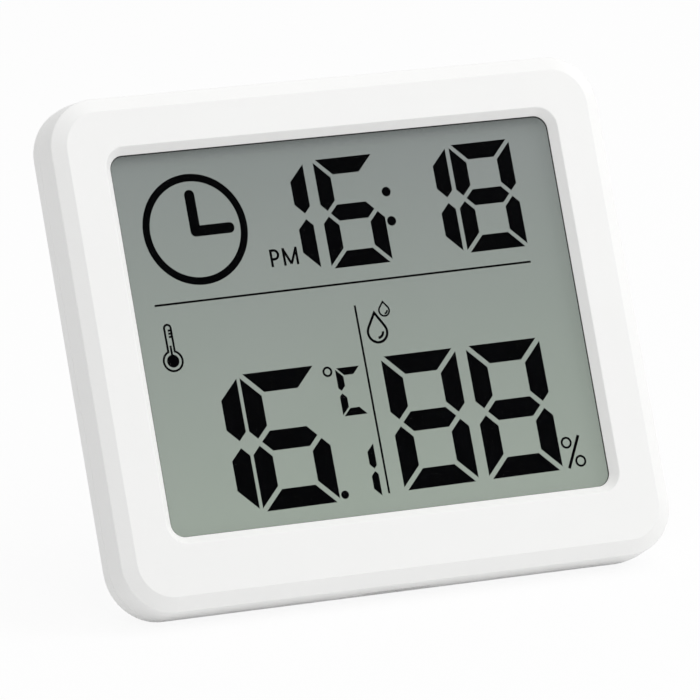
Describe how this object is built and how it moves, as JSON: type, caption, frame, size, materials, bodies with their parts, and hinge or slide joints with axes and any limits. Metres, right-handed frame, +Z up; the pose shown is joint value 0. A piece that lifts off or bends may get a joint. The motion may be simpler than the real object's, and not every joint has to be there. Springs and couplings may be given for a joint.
{
  "type": "thermometer hygrometer clock",
  "caption": "Flat white table clock with a large segment display for time, temperature and humidity, rear keys, a coin cell bay and a fold-out stand.",
  "frame": {"origin": "middle of the leaning clock's box, on the table", "axes": "+X to the viewer's right along the clock's width, +Y backwards from its face, +Z up"},
  "size_m": [0.08, 0.035, 0.0648],
  "materials": {
    "white_case": "fine satin texture",
    "white_trim": "satin",
    "black_foam": "matte",
    "polariser_film": "clear",
    "cell_glass": "clear",
    "lit_segment": "matte",
    "cell_seal": "gloss",
    "reflector_film": "satin",
    "zebra_rubber": "matte",
    "board_laminate": "gloss",
    "black_resin": "gloss",
    "steel": "plain",
    "nickel": "plated",
    "ceramic": "matte",
    "switch_black": "matte"
  },
  "bodies": {
    "case": {"front_shell": "white_case", "rear_cover": "white_case", "lcd_gasket": "black_foam", "front_polariser": "polariser_film", "lcd_front_glass": "cell_glass", "lcd_segments": "lit_segment", "lcd_seal": "cell_seal", "lcd_rear_glass": "cell_glass", "lcd_reflector": "reflector_film", "zebra_connector": "zebra_rubber", "lcd_support_pads": "black_foam", "circuit_board": "board_laminate", "controller_blob": "black_resin", "watch_crystal": "nickel", "smd_passives": "ceramic", "humidity_sensor": "ceramic", "thermistor": "black_resin", "tact_switches": "switch_black", "board_screws": "steel", "coin_cell": "nickel", "negative_contact": "nickel", "positive_contact": "nickel", "stand_pin": "steel"},
    "stand": {"stand_flap": "white_trim"},
    "door": {"battery_door": "white_trim"},
    "mode_key": {"mode_button": "white_trim", "mode_plunger": "switch_black"},
    "adjust_key": {"adjust_button": "white_trim", "adjust_plunger": "switch_black"},
    "unit_key": {"unit_button": "white_trim", "unit_plunger": "switch_black"}
  },
  "joints": [
    {"name": "stand_fold", "type": "hinge", "parent": "case", "child": "stand", "pos_m": [0, 0.00504, 0.03458], "axis": [1, 0, 0], "range_deg": [-36, 0]},
    {"name": "door_turn", "type": "hinge", "parent": "case", "child": "door", "pos_m": [0.02348, 0.01167, 0.04632], "axis": [0, 0.9171, -0.3987], "range_deg": [0, 50]},
    {"name": "mode_press", "type": "slide", "parent": "case", "child": "mode_key", "axis": [0, -0.9171, 0.3987], "range_m": [0, 0.0003], "stiffness_N_per_m": 300},
    {"name": "adjust_press", "type": "slide", "parent": "case", "child": "adjust_key", "axis": [0, -0.9171, 0.3987], "range_m": [0, 0.0003], "stiffness_N_per_m": 300},
    {"name": "unit_press", "type": "slide", "parent": "case", "child": "unit_key", "axis": [0, -0.9171, 0.3987], "range_m": [0, 0.0003], "stiffness_N_per_m": 300}
  ]
}
